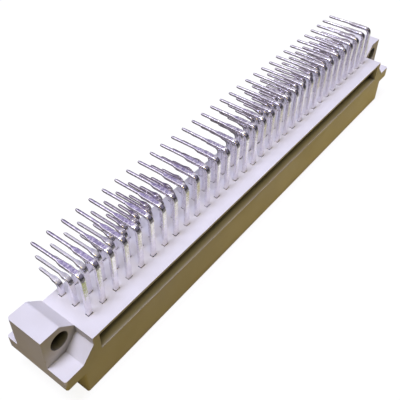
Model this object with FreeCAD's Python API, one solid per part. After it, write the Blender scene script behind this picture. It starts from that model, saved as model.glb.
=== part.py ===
import FreeCAD, Part
import math
import os

# Angled backplane connector, male, three rows of contacts in one moulded insulator.
# Millimetres. The origin is midway between the two mounting holes, on the face that
# seats on the circuit board. +X runs along the connector, +Y points out of the seat
# face into the board, and +Z points away from the mating side, towards the tails.

# Contact grid
column_pitch = 2.54
row_pitch = 2.54
columns = 32
row_names = ("short", "middle", "long")
contacts_per_group = 2

# Where the grid sits from the seat face and the hole line
middle_row_depth = 3.9
first_tail_row_rise = 2.84

# Mounting holes
hole_past_grid = 5.08
hole_bore = 2.8

# Heights along Z, counted from the hole line or from the face named
rear_face_rise = 0.4
lug_rise = 2.45
ledge_drop = 3.5
flange_thick = 2.05
shroud_reach = 4.45
step_drop = 1.35

# Lengths along X, counted outwards from the last contact of a row
flange_past_grid = 7.78
shroud_past_grid = 4.83
rear_face_past_grid = 2.48
ledge_run = 2.15
lug_top_length = 3.1
lug_end_draft = 0.1

# Widths along Y
wall_past_rows = 1.76
side_wall = 1.3
lug_depth = 6.2
seat_stand = 0.15

# Mating cavity
end_wall = 1.5
cavity_depth = 5.4
mouth_chamfer = 0.4
key_length = 1.6
key_width = 1.1

# Relief slot along the side away from the board
slot_lip = 0.45
slot_depth = 2.0
slot_end_margin = 1.15

# Rounded corners
shroud_corner = 0.3
flange_corner = 0.35
lug_corner = 0.5
lug_crease = 0.5

# Contacts
strip_thick = 0.55
blade_width = 0.8
pin_width = 0.6
pin_recess = 1.2
pin_point_length = 0.6
pin_point_width = 0.25
shoulder_inset = 0.3
passage_clearance = 0.06
bend_inner_radius = 0.6
bend_steps = 5
tail_reach = 2.65
tail_width = 0.5
tail_thick = 0.45
neck_depth = 2.8
neck_after_bend = 0.15
neck_taper = 0.8
tail_point_length = 0.35
tail_point_width = 0.3

# Places that follow from the sizes above
rows = len(row_names)
rear_face = rear_face_rise
ledge = rear_face - ledge_drop
flange_front = ledge - flange_thick
rim = flange_front - shroud_reach
cavity_floor = rim + cavity_depth
shoulder = cavity_floor + shoulder_inset
half_grid = (columns - 1) / 2 * column_pitch
half_holes = half_grid + hole_past_grid
half_flange = half_grid + flange_past_grid
half_shroud = half_grid + shroud_past_grid
half_rear = half_grid + rear_face_past_grid
half_cavity = half_shroud - end_wall
half_cavity_width = (rows - 1) / 2 * row_pitch + wall_past_rows
outer_side = -middle_row_depth - half_cavity_width - side_wall
inner_side = -middle_row_depth + half_cavity_width + side_wall


def box(x0, x1, y0, y1, z0, z1):
    return Part.makeBox(x1 - x0, y1 - y0, z1 - z0, FreeCAD.Vector(x0, y0, z0))


def round_upright_edges(shape, radius, wanted=lambda point: True):
    """Fillet the edges that run along Z and whose midpoint is wanted."""
    edges = []
    for edge in shape.Edges:
        start, end = edge.Vertexes[0].Point, edge.Vertexes[-1].Point
        along_z = math.hypot(end.x - start.x, end.y - start.y) < abs(end.z - start.z) / 10
        if along_z and wanted((start + end) / 2):
            edges.append(edge)
    return shape.makeFillet(radius, edges)


def prism_along_y(outline, y0, y1):
    """Extrude a closed outline of (x, z) points from y0 to y1."""
    points = [FreeCAD.Vector(x, y0, z) for x, z in outline]
    face = Part.Face(Part.makePolygon(points + points[:1]))
    return face.extrude(FreeCAD.Vector(0, y1 - y0, 0))


def mirrored_in_x(shape):
    return shape.mirror(FreeCAD.Vector(0, 0, 0), FreeCAD.Vector(1, 0, 0))


def both_ends(shape):
    return [shape, mirrored_in_x(shape)]


def shroud_and_flange():
    shroud = box(-half_shroud, half_shroud, outer_side, inner_side, rim, flange_front)
    flange = box(-half_flange, half_flange, outer_side, inner_side, flange_front, ledge)
    return round_upright_edges(shroud, shroud_corner).fuse(round_upright_edges(flange, flange_corner))


def rear_body():
    """The block that holds the contacts, stepped and sloped down to the flange at each end."""
    step = rear_face - step_drop
    foot = half_rear + ledge_run
    half = [(half_rear, rear_face), (half_rear, step), (foot, ledge)]
    outline = [(-x, z) for x, z in half] + [(x, z) for x, z in reversed(half)]
    return prism_along_y(outline, outer_side, -seat_stand)


def mounting_lug():
    """One end lug, with its flat top, its slope to the rear face and its lightly drafted end."""
    top_end = half_flange - lug_end_draft
    top_start = top_end - lug_top_length
    outline = [
        (half_rear, ledge),
        (half_rear, rear_face),
        (top_start, lug_rise),
        (top_end, lug_rise),
        (half_flange, ledge),
    ]
    lug = prism_along_y(outline, -lug_depth, 0)
    crease = [e for e in lug.Edges if is_line_at(e, top_start, lug_rise)]
    lug = lug.makeFillet(lug_crease, crease)
    return round_upright_edges(lug, lug_corner, lambda p: p.y > -lug_depth / 2 and p.x > top_end)


def is_line_at(edge, x, z):
    """Whether the edge runs along Y through the point (x, z)."""
    return all(math.hypot(v.X - x, v.Z - z) < Part.Precision.confusion() for v in edge.Vertexes)


def mounting_bore():
    return Part.makeCylinder(
        hole_bore / 2, lug_depth, FreeCAD.Vector(half_holes, -lug_depth, 0), FreeCAD.Vector(0, 1, 0))


def mating_cavity():
    """The space that the mating half enters, keyed at its two board-side corners."""
    low_y = -middle_row_depth - half_cavity_width
    high_y = -middle_row_depth + half_cavity_width
    space = box(-half_cavity, half_cavity, low_y, high_y, rim, cavity_floor)
    key = box(half_cavity - key_length, half_cavity, high_y - key_width, high_y, rim, cavity_floor)
    return space.cut(both_ends(key))


def chamfer_mouth(housing):
    """Flare the mouth: chamfer the inner edges of the face at the rim."""
    rim_face = min(housing.Faces, key=lambda face: face.CenterOfMass.z)
    outer = rim_face.OuterWire
    inner = [edge for wire in rim_face.Wires if not wire.isSame(outer) for edge in wire.Edges]
    return housing.makeChamfer(mouth_chamfer, inner)


def relief_slot():
    half = half_rear - slot_end_margin
    return box(-half, half, outer_side, outer_side + slot_depth, ledge, rear_face - slot_lip)


def column_x(column):
    return column * column_pitch - half_grid


def row_y(row):
    """Rows are counted from the board side, as their names are: short contacts come first."""
    return -middle_row_depth + ((rows - 1) / 2 - row) * row_pitch


def tail_z(row):
    """Middle of the soldering tail, on the board's grid of holes."""
    return first_tail_row_rise + row * row_pitch


def neck_start(row):
    """Where the blade starts to narrow to the tail: at one depth for all rows, past their bends."""
    bend_end = row_y(row) + strip_thick / 2 + bend_inner_radius
    return max(-neck_depth, bend_end + neck_after_bend)


def contact_passages():
    half_x = blade_width / 2 + passage_clearance
    half_y = strip_thick / 2 + passage_clearance
    passages = []
    for row in range(rows):
        for column in range(columns):
            x, y = column_x(column), row_y(row)
            passages.append(box(x - half_x, x + half_x, y - half_y, y + half_y, cavity_floor, rear_face))
    return passages


def insulator():
    housing = shroud_and_flange().fuse([rear_body()] + both_ends(mounting_lug()))
    housing = housing.cut([mating_cavity(), relief_slot()] + both_ends(mounting_bore()))
    housing = chamfer_mouth(housing.removeSplitter())
    return housing.cut(Part.makeCompound(contact_passages())).removeSplitter()


def bend(centre_y, centre_z, radius):
    """Points of a quarter turn, from the leg's direction round to the tail's."""
    turns = [step / bend_steps * math.pi / 2 for step in range(bend_steps + 1)]
    return [(centre_y - radius * math.cos(a), centre_z + radius * math.sin(a)) for a in turns]


def side_view(row):
    """The strip seen along the connector: pin point, leg, bend, and the tail thinned from below."""
    half_thick = strip_thick / 2
    half_point = pin_point_width / 2
    y, top, neck = row_y(row), tail_z(row) + tail_thick / 2, neck_start(row)
    tip = rim + pin_recess
    shank = tip + pin_point_length
    centre_y = y + half_thick + bend_inner_radius
    centre_z = top - strip_thick - bend_inner_radius
    outline = [(y + half_point, tip), (y - half_point, tip), (y - half_thick, shank)]
    outline += bend(centre_y, centre_z, bend_inner_radius + strip_thick)
    outline += [(tail_reach, top), (tail_reach, top - tail_thick)]
    outline += [(neck + neck_taper, top - tail_thick), (neck, top - strip_thick)]
    outline += reversed(bend(centre_y, centre_z, bend_inner_radius))
    outline.append((y + half_thick, shank))
    points = [FreeCAD.Vector(-blade_width / 2, py, pz) for py, pz in outline]
    face = Part.Face(Part.makePolygon(points + points[:1]))
    return face.extrude(FreeCAD.Vector(blade_width, 0, 0))


def mirrored_outline(half):
    """Close a list of (x, other) points with its mirror image in x."""
    return half + [(-x, other) for x, other in reversed(half)]


def front_view(row):
    """The strip seen from behind: the narrow pin, its point, and the shoulders of the blade."""
    tip = rim + pin_recess
    half = [
        (pin_point_width / 2, tip),
        (pin_width / 2, tip + pin_point_length),
        (pin_width / 2, shoulder),
        (blade_width / 2, shoulder),
        (blade_width / 2, tail_z(row) + strip_thick),
    ]
    return prism_along_y(mirrored_outline(half), row_y(row) - strip_thick, tail_reach)


def plan_view(row):
    """The strip seen from above: blade width to the neck, then the narrow soldering tail."""
    neck = neck_start(row)
    half = [
        (blade_width / 2, row_y(row) - strip_thick),
        (blade_width / 2, neck),
        (tail_width / 2, neck + neck_taper),
        (tail_width / 2, tail_reach - tail_point_length),
        (tail_point_width / 2, tail_reach),
    ]
    points = [FreeCAD.Vector(x, y, rim) for x, y in mirrored_outline(half)]
    face = Part.Face(Part.makePolygon(points + points[:1]))
    return face.extrude(FreeCAD.Vector(0, 0, tail_z(row) + strip_thick - rim))


def contact(row):
    return side_view(row).common(front_view(row)).common(plan_view(row)).removeSplitter()


def export(name, solids):
    shape = solids[0] if len(solids) == 1 else Part.makeCompound(solids)
    shape.exportStep(os.path.join("parts", name + ".step"))


def main():
    os.makedirs("parts", exist_ok=True)
    export("insulator_housing", [insulator()])
    for row, row_name in enumerate(row_names):
        pattern = contact(row)
        for first in range(0, columns, contacts_per_group):
            group = []
            for column in range(first, min(first + contacts_per_group, columns)):
                piece = pattern.copy()
                piece.translate(FreeCAD.Vector(column_x(column), 0, 0))
                group.append(piece)
            last = first + len(group)
            export("%s_contacts_%02d_%02d" % (row_name, first + 1, last), group)


main()
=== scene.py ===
import math
import random

import bmesh
import bpy
from mathutils import Matrix, Vector


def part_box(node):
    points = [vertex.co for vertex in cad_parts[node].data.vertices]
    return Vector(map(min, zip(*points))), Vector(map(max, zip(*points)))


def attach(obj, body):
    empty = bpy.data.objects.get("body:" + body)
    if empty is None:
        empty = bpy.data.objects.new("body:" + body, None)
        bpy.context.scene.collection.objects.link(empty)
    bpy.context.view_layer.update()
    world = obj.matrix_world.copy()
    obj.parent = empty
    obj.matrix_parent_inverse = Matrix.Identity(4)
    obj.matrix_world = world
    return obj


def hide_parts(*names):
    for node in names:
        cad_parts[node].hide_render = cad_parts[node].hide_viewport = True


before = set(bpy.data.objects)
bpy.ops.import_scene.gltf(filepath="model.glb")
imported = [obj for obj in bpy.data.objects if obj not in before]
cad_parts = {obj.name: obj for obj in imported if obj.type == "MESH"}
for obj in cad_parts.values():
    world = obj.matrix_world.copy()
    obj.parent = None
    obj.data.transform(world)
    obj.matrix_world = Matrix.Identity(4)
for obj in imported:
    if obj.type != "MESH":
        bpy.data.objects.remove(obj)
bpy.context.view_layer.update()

MM = 0.001

# The camera, solved on the photographed contact grid
CAMERA_PLACE = Vector((-65.51, -44.04, 63.53)) * MM
CAMERA_AZIMUTH = -52.88
CAMERA_ELEVATION = 44.21
CAMERA_ROLL = 0.68
CAMERA_LENS = 52.09
CAMERA_SENSOR = 36.0
CAMERA_CLIP = (1 * MM, 10)

# The contact strip
STRIP_THICK = 0.55 * MM
BLADE_WIDTH = 0.8 * MM
PIN_WIDTH = 0.6 * MM
TAIL_WIDTH = 0.5 * MM
TAIL_THICK = 0.45 * MM
PIN_POINT_LENGTH = 0.6 * MM
PIN_POINT_WIDTH = 0.25 * MM
PIN_EXPOSED = 4.2 * MM
SHOULDER_RISE = 0.3 * MM
BEND_INNER_RADIUS = 0.6 * MM
BEND_STEPS = 12
NECK_DEPTH = 2.8 * MM
NECK_AFTER_BEND = 0.15 * MM
NECK_TAPER = 0.8 * MM
TAIL_POINT_LENGTH = 0.35 * MM
TAIL_POINT_WIDTH = 0.3 * MM
TAIL_POINT_THICK = 0.36 * MM
TAIL_STEPS = 4
BLADE_EDGE = 0.12 * MM
TAIL_EDGE = 0.2 * MM
STRIP_EDGE_STEPS = 3
STRIP_SHARP_ANGLE = math.radians(50)
SIDE_PER_EDGE = 2.2

# How far a soldering tail may stand off its straight line at the tip, and how much it may fall short
TAIL_SHORT = 0.15 * MM
TAIL_SWAY = 0.07 * MM
TAIL_DROOP = 0.05 * MM
TAIL_FREE_LENGTH = 4.5 * MM

# The contact grid
COLUMNS = 32
COLUMN_PITCH = 2.54 * MM
ROW_PITCH = 2.54 * MM
MIDDLE_ROW = -3.9 * MM
HALF_GRID = (COLUMNS - 1) / 2 * COLUMN_PITCH

# The moulding. Its passages are drawn in round the contacts, which sit tight in them
HOUSING = "insulator_housing"
MOULD_EDGE_RADIUS = 0.12 * MM
MOULD_EDGE_STEPS = 2
MOULD_SHARP_ANGLE = math.radians(28)
WELD_DISTANCE = 0.001 * MM
FLAT_ANGLE = math.radians(0.5)
PASSAGE_CLEARANCE = 0.045 * MM
PASSAGES_HALF_LENGTH = HALF_GRID + COLUMN_PITCH / 2
PASSAGES_HALF_WIDTH = 1.3 * ROW_PITCH

# The relief slot and the mounting holes, and the light left deep inside them
SLOT_MOUTH = -9.5 * MM
SLOT_BACK = -7.5 * MM
SLOT_TOP = -0.05 * MM
SLOT_FOOT = -3.1 * MM
SLOT_HALF = 40.75 * MM
SLOT_SHADE = 0.3
HALF_HOLES = HALF_GRID + 5.08 * MM
HOLE_RADIUS = 1.4 * MM
HOLE_SHADE = 0.4
SHADE_EDGE = 0.1 * MM

# Other recesses: how far off a wall shades them, and from which openness to which, down to what
RECESS_REACH = 3 * MM
RECESS_CLOSED = 0.25
RECESS_OPEN = 0.72
RECESS_SHADE = 0.05
OPENNESS_SAMPLES = 12

# The plastic's gloss, and the noise levels between which both materials' blotches run
PLASTIC_SPECULAR = 0.12
BLOTCH_SPREAD = (0.35, 0.65)

# How much blotches show on the sides and on the tops of the strips, and from which upward slope to
# which a face counts as a top, for the blotches and for the painted highlight and shade
SIDE_CONTRAST = 0.18
TOP_CONTRAST = 0.62
BLOTCHED_TOPS = (0.5, 1.0)
PAINTED_LIGHT_TOPS = (0.6, 0.95)

# The tops of the lower two rows: a painted dull white highlight near one end, then painted shade, a
# darker tint
LOWER_ROWS_TOP = 7.2 * MM
LOWER_ROWS_FADE = 0.4 * MM
PAINTED_HIGHLIGHT_FADES = (-36 * MM, -24 * MM)
PAINTED_HIGHLIGHT_METAL = 0.15
PAINTED_HIGHLIGHT_CONTRAST = 0.05

# The stage: how much of the white floor and of the white room metal shows
FLOOR_HALF = 1.5
FLOOR_IN_METAL = 0.1
ROOM_IN_METAL = 0.04

# The distances over which the floor's glow rises to white for the camera
FLOOR_GLOW_RISES = (0.1, 1.2)

# The warm pool that lights the moulding's sides from below, along X and to either side along Y
POOL_ALONG = (-0.06, 0.09)
POOL_ASIDE = (0.015, 0.05)

# The floor as metal mirrors it, in bands along Y and, in the strip before the legs, along X
STRIP_STARTS = (-0.030, -0.023)
STRIP_ENDS = (-0.014, -0.010)
BEYOND_TAILS = (0.001, 0.006)
OLIVE_ENDS = (-0.0315, -0.0265)
STRIP_NOISE_SCALE = 130.0
STRIP_NOISE_SPREAD = (0.44, 0.54)

# The slopes over which the room brightens upwards, for other surfaces and for metal
ROOM_RISES = (0.2, 0.8)
METAL_ROOM_RISES = (0.3, 0.85)

# The lamps, aimed at the connector's middle: place, width, depth, power and colour
LAMPS = {
    "top_light": ((-0.12, 0.06, 0.90), 0.25, 0.6, 9.8, (0.69, 0.73, 1.0)),
    "side_light": ((-0.20, -0.31, 0.74), 0.3, 0.2, 1.6, (1.0, 0.83, 0.36)),
}

random.seed(31)


def srgb(red, green, blue):
    """A colour read as 0 to 255, as linear values with alpha."""
    def linear(value):
        share = value / 255
        return share / 12.92 if share <= 0.04045 else ((share + 0.055) / 1.055) ** 2.4
    return (linear(red), linear(green), linear(blue), 1.0)


# Colours. Those that srgb doesn't give are linear
WHITE = (1, 1, 1, 1)
PLASTIC_LIGHT = srgb(226, 222, 224)
PLASTIC_DARK = srgb(214, 209, 208)
TIN_LIGHT = srgb(244, 241, 244)
TIN_DARK = srgb(136, 126, 158)
# Painted shade: the darker tint on the tops of the lower two rows
LOWER_ROWS_PAINTED_SHADE = (0.56, 0.52, 0.54, 1)

# The floor as the camera sees it: its glow near the connector, and the grey that takes the shadow
FLOOR_GLOW = (0.9, 0.9, 0.9, 1)
FLOOR_GREY = (0.13, 0.13, 0.13, 1)

# The pool of warm light, from its -X end to its +X end, and the floor to either side of it
POOL_DEEP = srgb(146, 122, 34)
POOL_PALE = srgb(222, 196, 96)
POOL_ASIDE_COLOR = srgb(60, 54, 44)

# The floor's bands in metal: the strip's olive end, the two colours it varies between, and the
# floor under the legs, beyond the tails and before the strip
STRIP_OLIVE = srgb(150, 156, 66)
STRIP_DULL = srgb(166, 160, 92)
STRIP_PALE = srgb(255, 254, 236)
UNDER_LEGS_COLOR = srgb(159, 155, 143)
BEYOND_TAILS_COLOR = srgb(66, 54, 56)
BEFORE_STRIP_COLOR = srgb(100, 96, 88)

# The room from low to high, for other surfaces and for metal
ROOM_LOW = srgb(34, 30, 20)
ROOM_HIGH = srgb(56, 52, 50)
METAL_ROOM_LOW = srgb(22, 18, 22)
METAL_ROOM_HIGH = srgb(76, 70, 86)

# Where metal finds a patch of another colour in the room: its direction, the nearness to that
# direction from which and to which it fades in, and its colour
MIRRORED_PATCHES = [
    ((-0.30, 0.43, 0.85), 0.72, 0.90, (1.5, 1.45, 1.6, 1)),
    ((0.85, 0.32, 0.42), 0.87, 0.95, srgb(156, 144, 147)),
    ((0.68, 0.44, 0.58), 0.93, 0.98, srgb(112, 103, 136)),
    ((0.42, 0.54, 0.73), 0.93, 0.98, srgb(166, 153, 208)),
    ((0.45, -0.45, 0.77), 0.86, 0.96, srgb(122, 116, 138)),
    ((0.42, 0.15, 0.90), 0.92, 0.975, srgb(255, 253, 255)),
    ((0.74, 0.15, 0.65), 0.94, 0.98, srgb(255, 253, 255)),
]


# Materials

def give(links, socket, item):
    """Set a socket to a constant, or join another socket to it."""
    if isinstance(item, bpy.types.NodeSocket):
        links.new(item, socket)
    else:
        socket.default_value = item


def ranged(nodes, links, value, low, high, start=0.0, end=1.0, kind="LINEAR"):
    """A number that runs from start to end as a value runs from low to high."""
    node = nodes.new("ShaderNodeMapRange")
    node.interpolation_type = kind
    for name, item in (("Value", value), ("From Min", low), ("From Max", high),
                       ("To Min", start), ("To Max", end)):
        give(links, node.inputs[name], item)
    return node.outputs["Result"]


def calculated(nodes, links, operation, *items):
    """A number worked out from one or two others."""
    node = nodes.new("ShaderNodeMath")
    node.operation = operation
    for socket, item in zip(node.inputs, items):
        give(links, socket, item)
    return node.outputs["Value"]


def mixed(nodes, links, share, first, second, blend="MIX"):
    """A colour mixed from two others."""
    node = nodes.new("ShaderNodeMix")
    node.data_type = "RGBA"
    node.blend_type = blend
    for name, item in (("Factor", share), ("A", first), ("B", second)):
        give(links, node.inputs[name], item)
    return node.outputs["Result"]


def graded(nodes, links, value, low, high, dark, light):
    """A colour that runs from dark to light as a value runs from low to high."""
    share = ranged(nodes, links, value, low, high, kind="SMOOTHSTEP")
    return mixed(nodes, links, share, dark, light)


def parts_of(nodes, links, vector):
    """The X, Y and Z sockets of a vector."""
    node = nodes.new("ShaderNodeSeparateXYZ")
    links.new(vector, node.inputs["Vector"])
    return [node.outputs[axis] for axis in "XYZ"]


def new_material(name):
    material = bpy.data.materials.new(name)
    material.use_nodes = True
    nodes, links = material.node_tree.nodes, material.node_tree.links
    return material, nodes, links, nodes["Principled BSDF"]


def group_sockets(group, direction, kind, *names):
    for name in names:
        group.interface.new_socket(name=name, in_out=direction, socket_type=kind)


def mottle_group():
    """Blotches between two colours, with a roughness and a surface height that follow a fine grain."""
    group = bpy.data.node_groups.new("surface_mottle", "ShaderNodeTree")
    group_sockets(group, "INPUT", "NodeSocketColor", "Light", "Dark")
    group_sockets(group, "INPUT", "NodeSocketFloat", "Blotch Scale", "Grain Scale", "Contrast",
                  "Rough Low", "Rough High")
    group_sockets(group, "OUTPUT", "NodeSocketColor", "Color")
    group_sockets(group, "OUTPUT", "NodeSocketFloat", "Roughness", "Height")
    nodes, links = group.nodes, group.links
    inputs = nodes.new("NodeGroupInput")
    outputs = nodes.new("NodeGroupOutput")
    place = nodes.new("ShaderNodeTexCoord")
    blotch = nodes.new("ShaderNodeTexNoise")
    grain = nodes.new("ShaderNodeTexNoise")
    blotch.inputs["Detail"].default_value = 3.0
    grain.inputs["Detail"].default_value = 2.0
    links.new(place.outputs["Object"], blotch.inputs["Vector"])
    links.new(place.outputs["Object"], grain.inputs["Vector"])
    links.new(inputs.outputs["Blotch Scale"], blotch.inputs["Scale"])
    links.new(inputs.outputs["Grain Scale"], grain.inputs["Scale"])
    spread = ranged(nodes, links, blotch.outputs["Fac"], *BLOTCH_SPREAD)
    share = calculated(nodes, links, "MULTIPLY", spread, inputs.outputs["Contrast"])
    tint = mixed(nodes, links, share, inputs.outputs["Light"], inputs.outputs["Dark"])
    rough = nodes.new("ShaderNodeMix")
    links.new(grain.outputs["Fac"], rough.inputs["Factor"])
    links.new(inputs.outputs["Rough Low"], rough.inputs["A"])
    links.new(inputs.outputs["Rough High"], rough.inputs["B"])
    links.new(tint, outputs.inputs["Color"])
    links.new(rough.outputs["Result"], outputs.inputs["Roughness"])
    links.new(grain.outputs["Fac"], outputs.inputs["Height"])
    return group


def mottled(nodes, links, shader, group, light, dark, **values):
    """Place the mottle group in a material and let it drive the shader's roughness. Returns the
    group's node, whose colour and height are still to be joined."""
    node = nodes.new("ShaderNodeGroup")
    node.node_tree = group
    node.inputs["Light"].default_value = light
    node.inputs["Dark"].default_value = dark
    for name, value in values.items():
        node.inputs[name.replace("_", " ").title()].default_value = value
    links.new(node.outputs["Roughness"], shader.inputs["Roughness"])
    return node


def bumped(nodes, links, shader, height, strength, distance):
    bump = nodes.new("ShaderNodeBump")
    bump.inputs["Strength"].default_value = strength
    bump.inputs["Distance"].default_value = distance
    links.new(height, bump.inputs["Height"])
    links.new(bump.outputs["Normal"], shader.inputs["Normal"])


def moulded_plastic(group):
    material, nodes, links, shader = new_material("moulded_insulator")
    node = mottled(nodes, links, shader, group, PLASTIC_LIGHT, PLASTIC_DARK,
                   blotch_scale=160.0, grain_scale=5200.0, contrast=0.6, rough_low=0.5, rough_high=0.68)
    shader.inputs["Specular IOR Level"].default_value = PLASTIC_SPECULAR
    bumped(nodes, links, shader, node.outputs["Height"], strength=0.25, distance=0.02 * MM)
    recess_shade(nodes, links, shader, node.outputs["Color"])
    return material


def recess_shade(nodes, links, shader, color):
    """Darken the colour inside the slot and the holes, and leave open corners as they are."""
    openness = nodes.new("ShaderNodeAmbientOcclusion")
    openness.samples = OPENNESS_SAMPLES
    openness.only_local = True
    openness.inputs["Distance"].default_value = RECESS_REACH
    shade = ranged(nodes, links, openness.outputs["AO"], RECESS_CLOSED, RECESS_OPEN, RECESS_SHADE)
    x, y, z = parts_of(nodes, links, nodes.new("ShaderNodeTexCoord").outputs["Object"])
    aside = calculated(nodes, links, "ABSOLUTE", x)
    for extra in (slot_shade(nodes, links, aside, y, z), bore_shade(nodes, links, aside, z)):
        shade = calculated(nodes, links, "MULTIPLY", shade, extra)
    links.new(mixed(nodes, links, 1.0, color, shade, "MULTIPLY"), shader.inputs["Base Color"])


def slot_shade(nodes, links, aside, y, z):
    """The light left inside the relief slot, less towards its back wall."""
    shade = ranged(nodes, links, y, SLOT_MOUTH, SLOT_BACK, 1.0, SLOT_SHADE)
    shade = ranged(nodes, links, z, SLOT_TOP, SLOT_TOP + SHADE_EDGE, shade, 1.0)
    shade = ranged(nodes, links, z, SLOT_FOOT - SHADE_EDGE, SLOT_FOOT - SHADE_EDGE / 5, 1.0, shade)
    return ranged(nodes, links, aside, SLOT_HALF, SLOT_HALF + SHADE_EDGE, shade, 1.0)


def bore_shade(nodes, links, aside, z):
    """The light left inside the mounting holes."""
    off = calculated(nodes, links, "SUBTRACT", aside, HALF_HOLES)
    squares = [calculated(nodes, links, "MULTIPLY", side, side) for side in (off, z)]
    reach = calculated(nodes, links, "SQRT", calculated(nodes, links, "ADD", *squares))
    return ranged(nodes, links, reach, HOLE_RADIUS, HOLE_RADIUS + SHADE_EDGE, HOLE_SHADE, 1.0)


def tin_plate(group):
    material, nodes, links, shader = new_material("tinned_contact")
    node = mottled(nodes, links, shader, group, TIN_LIGHT, TIN_DARK,
                   blotch_scale=1700.0, grain_scale=3600.0, rough_low=0.11, rough_high=0.24)
    upward = parts_of(nodes, links, nodes.new("ShaderNodeNewGeometry").outputs["Normal"])[2]
    # Painted light on the tops of the lower two rows: a white highlight at the -X end, then darker
    # painted shade
    metallic, tint, contrast = lower_rows_painted_light(nodes, links, upward)
    links.new(metallic, shader.inputs["Metallic"])
    shown = ranged(nodes, links, upward, *BLOTCHED_TOPS, SIDE_CONTRAST, contrast)
    links.new(shown, node.inputs["Contrast"])
    color = mixed(nodes, links, 1.0, node.outputs["Color"], tint, "MULTIPLY")
    links.new(color, shader.inputs["Base Color"])
    bumped(nodes, links, shader, node.outputs["Height"], strength=0.7, distance=0.06 * MM)
    return material


def lower_rows_painted_light(nodes, links, upward):
    """How metallic the strips are, the tint they take and how mottled their tops are. The tops of the
    two lower rows differ: a painted highlight, dull white, at the -X end, and painted shade, darker
    metal, from there on."""
    x, _, z = parts_of(nodes, links, nodes.new("ShaderNodeTexCoord").outputs["Object"])
    lower = ranged(nodes, links, z, LOWER_ROWS_TOP, LOWER_ROWS_TOP + LOWER_ROWS_FADE, 1.0, 0.0)
    share = ranged(nodes, links, upward, *PAINTED_LIGHT_TOPS, 0.0, lower)
    bright = ranged(nodes, links, x, *PAINTED_HIGHLIGHT_FADES, PAINTED_HIGHLIGHT_METAL, 1.0)
    metallic = ranged(nodes, links, share, 0.0, 1.0, 1.0, bright)
    dark = graded(nodes, links, x, *PAINTED_HIGHLIGHT_FADES, WHITE, LOWER_ROWS_PAINTED_SHADE)
    tint = mixed(nodes, links, share, WHITE, dark)
    plain = ranged(nodes, links, x, *PAINTED_HIGHLIGHT_FADES, PAINTED_HIGHLIGHT_CONTRAST, TOP_CONTRAST)
    return metallic, tint, ranged(nodes, links, lower, 0.0, 1.0, TOP_CONTRAST, plain)


# Pieces

def shaded_mesh(bm, name, sharp_angle):
    """The mesh of a piece, smooth but for the edges that turn by more than the sharp angle."""
    mesh = bpy.data.meshes.new(name)
    bm.to_mesh(mesh)
    bm.free()
    for polygon in mesh.polygons:
        polygon.use_smooth = True
    mesh.set_sharp_from_angle(angle=sharp_angle)
    return mesh


def add_piece(name, mesh, material, slot, *replaced):
    """Put a piece in the scene. Its flat faces are shaded flat, so only the rounded edges turn."""
    piece = bpy.data.objects.new(name, mesh)
    bpy.context.scene.collection.objects.link(piece)
    mesh.materials.append(material)
    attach(piece, "root")
    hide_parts(*replaced)
    piece.modifiers.new("flat faces stay flat", "WEIGHTED_NORMAL").keep_sharp = True


def in_a_passage(vert):
    """Whether a corner belongs to one of the small passages that the contacts stand in."""
    return abs(vert.co.x) < PASSAGES_HALF_LENGTH and abs(vert.co.y - MIDDLE_ROW) < PASSAGES_HALF_WIDTH


def at_a_passage(edge):
    return all(in_a_passage(vert) for vert in edge.verts)


def close_passages(bm):
    """Bring the passages' sides nearer to the contacts."""
    for vert in filter(in_a_passage, bm.verts):
        x = round((vert.co.x + HALF_GRID) / COLUMN_PITCH) * COLUMN_PITCH - HALF_GRID
        y = round((vert.co.y - MIDDLE_ROW) / ROW_PITCH) * ROW_PITCH + MIDDLE_ROW
        vert.co.x = x + math.copysign(BLADE_WIDTH / 2 + PASSAGE_CLEARANCE, vert.co.x - x)
        vert.co.y = y + math.copysign(STRIP_THICK / 2 + PASSAGE_CLEARANCE, vert.co.y - y)


def moulded_housing(material):
    """The moulding as built, with its corners eased as they leave the mould."""
    bm = bmesh.new()
    bm.from_mesh(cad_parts[HOUSING].data)
    bmesh.ops.remove_doubles(bm, verts=bm.verts, dist=WELD_DISTANCE)
    bmesh.ops.dissolve_limit(bm, angle_limit=FLAT_ANGLE, verts=bm.verts, edges=bm.edges)
    close_passages(bm)
    sharp = [edge for edge in bm.edges if len(edge.link_faces) == 2
             and edge.calc_face_angle(0) > MOULD_SHARP_ANGLE and not at_a_passage(edge)]
    bmesh.ops.bevel(bm, geom=sharp, offset=MOULD_EDGE_RADIUS, segments=MOULD_EDGE_STEPS, profile=0.5,
                    affect="EDGES", clamp_overlap=True)
    low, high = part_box(HOUSING)
    for vert in bm.verts:
        vert.co = Vector(max(least, min(most, value))
                         for least, most, value in zip(low, high, vert.co))
    mesh = shaded_mesh(bm, "moulded_housing", MOULD_SHARP_ANGLE)
    add_piece("moulded_housing", mesh, material, "moulded_insulator", HOUSING)


def section(width, thick, edge):
    """A rounded rectangle about the strip's middle, as (across, through) pairs."""
    radius = min(edge, width / SIDE_PER_EDGE, thick / SIDE_PER_EDGE)
    points = []
    for corner in range(4):
        middle_across = (width / 2 - radius) * (1 if corner in (0, 3) else -1)
        middle_through = (thick / 2 - radius) * (1 if corner in (0, 1) else -1)
        for step in range(STRIP_EDGE_STEPS + 1):
            angle = (corner + step / STRIP_EDGE_STEPS) * math.pi / 2
            points.append((middle_across + radius * math.cos(angle),
                           middle_through + radius * math.sin(angle)))
    return points


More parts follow.
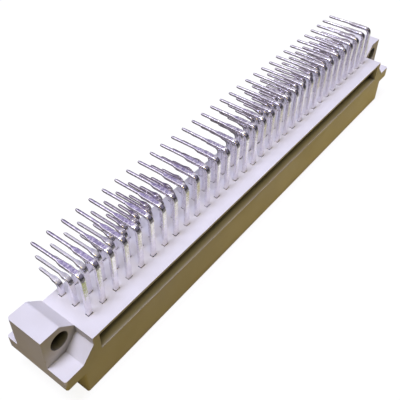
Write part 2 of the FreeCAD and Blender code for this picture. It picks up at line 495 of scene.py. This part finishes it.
def stations(low, high, short):
    """Places along one strip from pin point to tail tip: (y, z, turn, width, thick, edge)."""
    leg_y = low.y + STRIP_THICK / 2
    blade_z = high.z - STRIP_THICK / 2
    tail_z = high.z - TAIL_THICK / 2
    radius = BEND_INNER_RADIUS + STRIP_THICK / 2
    bend_z = blade_z - radius
    bend_y = leg_y + radius
    shoulder = low.z + PIN_EXPOSED + SHOULDER_RISE
    neck = max(-NECK_DEPTH, bend_y + NECK_AFTER_BEND)
    places = [
        (leg_y, low.z, 0, PIN_POINT_WIDTH, PIN_POINT_WIDTH, BLADE_EDGE),
        (leg_y, low.z + PIN_POINT_LENGTH, 0, PIN_WIDTH, STRIP_THICK, BLADE_EDGE),
        (leg_y, shoulder - BLADE_EDGE, 0, PIN_WIDTH, STRIP_THICK, BLADE_EDGE),
        (leg_y, shoulder, 0, BLADE_WIDTH, STRIP_THICK, BLADE_EDGE),
    ]
    for step in range(BEND_STEPS + 1):
        turn = step / BEND_STEPS * math.pi / 2
        places.append((bend_y - radius * math.cos(turn), bend_z + radius * math.sin(turn),
                       turn, BLADE_WIDTH, STRIP_THICK, BLADE_EDGE))
    quarter = math.pi / 2
    places += [
        (neck, blade_z, quarter, BLADE_WIDTH, STRIP_THICK, BLADE_EDGE),
        (neck + NECK_TAPER, tail_z, quarter, TAIL_WIDTH, TAIL_THICK, TAIL_EDGE),
    ]
    tail_start, tail_end = neck + NECK_TAPER, high.y - short - TAIL_POINT_LENGTH
    for step in range(1, TAIL_STEPS + 1):
        y = tail_start + (tail_end - tail_start) * step / TAIL_STEPS
        places.append((y, tail_z, quarter, TAIL_WIDTH, TAIL_THICK, TAIL_EDGE))
    places.append((high.y - short, tail_z, quarter, TAIL_POINT_WIDTH, TAIL_POINT_THICK, TAIL_EDGE))
    return places


def sweep_strip(bm, x, places, sway, droop):
    """One contact: the section carried along its places, its tail a little off the straight line."""
    tip = places[-1][0]
    root = tip - TAIL_FREE_LENGTH
    rings = []
    for y, z, turn, width, thick, edge in places:
        share = max(0.0, (y - root) / (tip - root)) ** 2
        middle = Vector((x + sway * share, y, z - droop * share))
        through = Vector((0, -math.cos(turn), math.sin(turn)))
        ring = [bm.verts.new(middle + Vector((across, 0, 0)) + through * depth)
                for across, depth in section(width, thick, edge)]
        rings.append(ring)
    for first, second in zip(rings, rings[1:]):
        count = len(first)
        for i in range(count):
            j = (i + 1) % count
            bm.faces.new((first[i], second[i], second[j], first[j]))
    bm.faces.new(rings[0])
    bm.faces.new(list(reversed(rings[-1])))


def contact_pair(node, material):
    low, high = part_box(node)
    bm = bmesh.new()
    for x in (low.x + BLADE_WIDTH / 2, high.x - BLADE_WIDTH / 2):
        places = stations(low, high, random.uniform(0, TAIL_SHORT))
        sweep_strip(bm, x, places, random.uniform(-TAIL_SWAY, TAIL_SWAY), random.uniform(0, TAIL_DROOP))
    bmesh.ops.recalc_face_normals(bm, faces=bm.faces)
    mesh = shaded_mesh(bm, node, STRIP_SHARP_ANGLE)
    add_piece("tinned_" + node, mesh, material, "tinned_contact", node)


# Stage

def shown_share(nodes, links, path, in_metal):
    """How much of the white surroundings a ray is shown: all for the camera, a share for metal."""
    share = path.outputs["Is Camera Ray"]
    for ray, factor in (("Is Glossy Ray", in_metal), ("Is Transmission Ray", 1.0)):
        step = nodes.new("ShaderNodeMath")
        step.operation = "MULTIPLY_ADD"
        step.use_clamp = True
        step.inputs[1].default_value = factor
        links.new(path.outputs[ray], step.inputs[0])
        links.new(share, step.inputs[2])
        share = step.outputs["Value"]
    return share


def floor_in_metal(nodes, links, x, y):
    """The floor as metal mirrors it: bright in a strip before the legs, olive at its -X end, and
    dark beyond the tails."""
    uneven = nodes.new("ShaderNodeTexNoise")
    uneven.noise_dimensions = "1D"
    uneven.inputs["Scale"].default_value = STRIP_NOISE_SCALE
    uneven.inputs["Detail"].default_value = 1.0
    links.new(x, uneven.inputs["W"])
    varied = graded(nodes, links, uneven.outputs["Fac"], *STRIP_NOISE_SPREAD,
                    STRIP_DULL, STRIP_PALE)
    strip = graded(nodes, links, x, *OLIVE_ENDS, STRIP_OLIVE, varied)
    near = graded(nodes, links, y, *STRIP_ENDS, strip, UNDER_LEGS_COLOR)
    near = graded(nodes, links, y, *BEYOND_TAILS, near, BEYOND_TAILS_COLOR)
    return graded(nodes, links, y, *STRIP_STARTS, BEFORE_STRIP_COLOR, near)


def floor_material():
    """White for the camera, with the shadow on it. The light that it throws back is warm, brightest
    beside the connector and towards +X, and metal mirrors it in bands."""
    material = bpy.data.materials.new("pale_floor")
    material.use_nodes = True
    nodes, links = material.node_tree.nodes, material.node_tree.links
    nodes.clear()
    output = nodes.new("ShaderNodeOutputMaterial")
    path = nodes.new("ShaderNodeLightPath")
    seen = nodes.new("ShaderNodeBsdfDiffuse")
    seen.inputs["Color"].default_value = FLOOR_GREY
    place = nodes.new("ShaderNodeTexCoord")
    reach = nodes.new("ShaderNodeVectorMath")
    reach.operation = "LENGTH"
    links.new(place.outputs["Object"], reach.inputs[0])
    glow = nodes.new("ShaderNodeEmission")
    glow_color = graded(nodes, links, reach.outputs["Value"], *FLOOR_GLOW_RISES, FLOOR_GLOW, WHITE)
    links.new(glow_color, glow.inputs["Color"])
    both = nodes.new("ShaderNodeAddShader")
    links.new(seen.outputs[0], both.inputs[0])
    links.new(glow.outputs[0], both.inputs[1])
    x, y, _ = parts_of(nodes, links, place.outputs["Object"])
    around = nodes.new("ShaderNodeBsdfDiffuse")
    warm = graded(nodes, links, x, *POOL_ALONG, POOL_DEEP, POOL_PALE)
    aside = calculated(nodes, links, "ABSOLUTE", y)
    pool = graded(nodes, links, aside, *POOL_ASIDE, warm, POOL_ASIDE_COLOR)
    mirrored = floor_in_metal(nodes, links, x, y)
    around_color = mixed(nodes, links, path.outputs["Is Glossy Ray"], pool, mirrored)
    links.new(around_color, around.inputs["Color"])
    pick = nodes.new("ShaderNodeMixShader")
    links.new(shown_share(nodes, links, path, FLOOR_IN_METAL), pick.inputs["Fac"])
    links.new(around.outputs[0], pick.inputs[1])
    links.new(both.outputs[0], pick.inputs[2])
    links.new(pick.outputs[0], output.inputs["Surface"])
    return material


def lay_floor():
    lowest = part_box(HOUSING)[0].z
    mesh = bpy.data.meshes.new("floor")
    corners = [(-FLOOR_HALF, -FLOOR_HALF), (FLOOR_HALF, -FLOOR_HALF), (FLOOR_HALF, FLOOR_HALF),
               (-FLOOR_HALF, FLOOR_HALF)]
    mesh.from_pydata([(x, y, lowest) for x, y in corners], [], [(0, 1, 2, 3)])
    mesh.materials.append(floor_material())
    floor = bpy.data.objects.new("floor", mesh)
    bpy.context.scene.collection.objects.link(floor)


def add_area_light(name, place, width, depth, power, color):
    """A rectangular lamp that is aimed at the connector's middle."""
    light = bpy.data.lights.new(name, "AREA")
    light.shape = "RECTANGLE"
    light.size = width
    light.size_y = depth
    light.energy = power
    light.color = color
    lamp = bpy.data.objects.new(name, light)
    lamp.location = place
    lamp.rotation_euler = (-Vector(place)).to_track_quat("-Z", "Y").to_euler()
    bpy.context.scene.collection.objects.link(lamp)


def towards(nodes, links, vector, direction):
    """How nearly a vector points in a direction, from -1 to 1."""
    dot = nodes.new("ShaderNodeVectorMath")
    dot.operation = "DOT_PRODUCT"
    dot.inputs[1].default_value = Vector(direction).normalized()
    links.new(vector, dot.inputs[0])
    return dot.outputs["Value"]


def light_room():
    """A dim room that the camera sees white. Metal mirrors it with its coloured patches."""
    world = bpy.data.worlds.new("room")
    bpy.context.scene.world = world
    world.use_nodes = True
    nodes, links = world.node_tree.nodes, world.node_tree.links
    way = nodes.new("ShaderNodeTexCoord").outputs["Generated"]
    path = nodes.new("ShaderNodeLightPath")
    height = towards(nodes, links, way, (0, 0, 1))
    around = graded(nodes, links, height, *ROOM_RISES, ROOM_LOW, ROOM_HIGH)
    mirrored = graded(nodes, links, height, *METAL_ROOM_RISES, METAL_ROOM_LOW, METAL_ROOM_HIGH)
    for patch, start, end, color in MIRRORED_PATCHES:
        mirrored = graded(nodes, links, towards(nodes, links, way, patch), start, end, mirrored, color)
    room = mixed(nodes, links, path.outputs["Is Glossy Ray"], around, mirrored)
    shown = mixed(nodes, links, shown_share(nodes, links, path, ROOM_IN_METAL), room, WHITE)
    links.new(shown, nodes["Background"].inputs["Color"])


def place_camera():
    data = bpy.data.cameras.new("camera")
    data.lens = CAMERA_LENS
    data.sensor_width = CAMERA_SENSOR
    data.clip_start, data.clip_end = CAMERA_CLIP
    camera = bpy.data.objects.new("camera", data)
    turn = (Matrix.Rotation(math.radians(CAMERA_AZIMUTH), 3, "Z")
            @ Matrix.Rotation(math.radians(90 - CAMERA_ELEVATION), 3, "X")
            @ Matrix.Rotation(math.radians(CAMERA_ROLL), 3, "Z"))
    camera.rotation_euler = turn.to_euler()
    camera.location = CAMERA_PLACE
    bpy.context.scene.collection.objects.link(camera)
    bpy.context.scene.camera = camera


def main():
    bpy.context.scene.view_settings.view_transform = "Standard"
    mottle = mottle_group()
    plastic = moulded_plastic(mottle)
    tin = tin_plate(mottle)
    moulded_housing(plastic)
    for node in sorted(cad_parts):
        if node != HOUSING:
            contact_pair(node, tin)
    lay_floor()
    for name, lamp in LAMPS.items():
        add_area_light(name, *lamp)
    light_room()
    place_camera()


main()
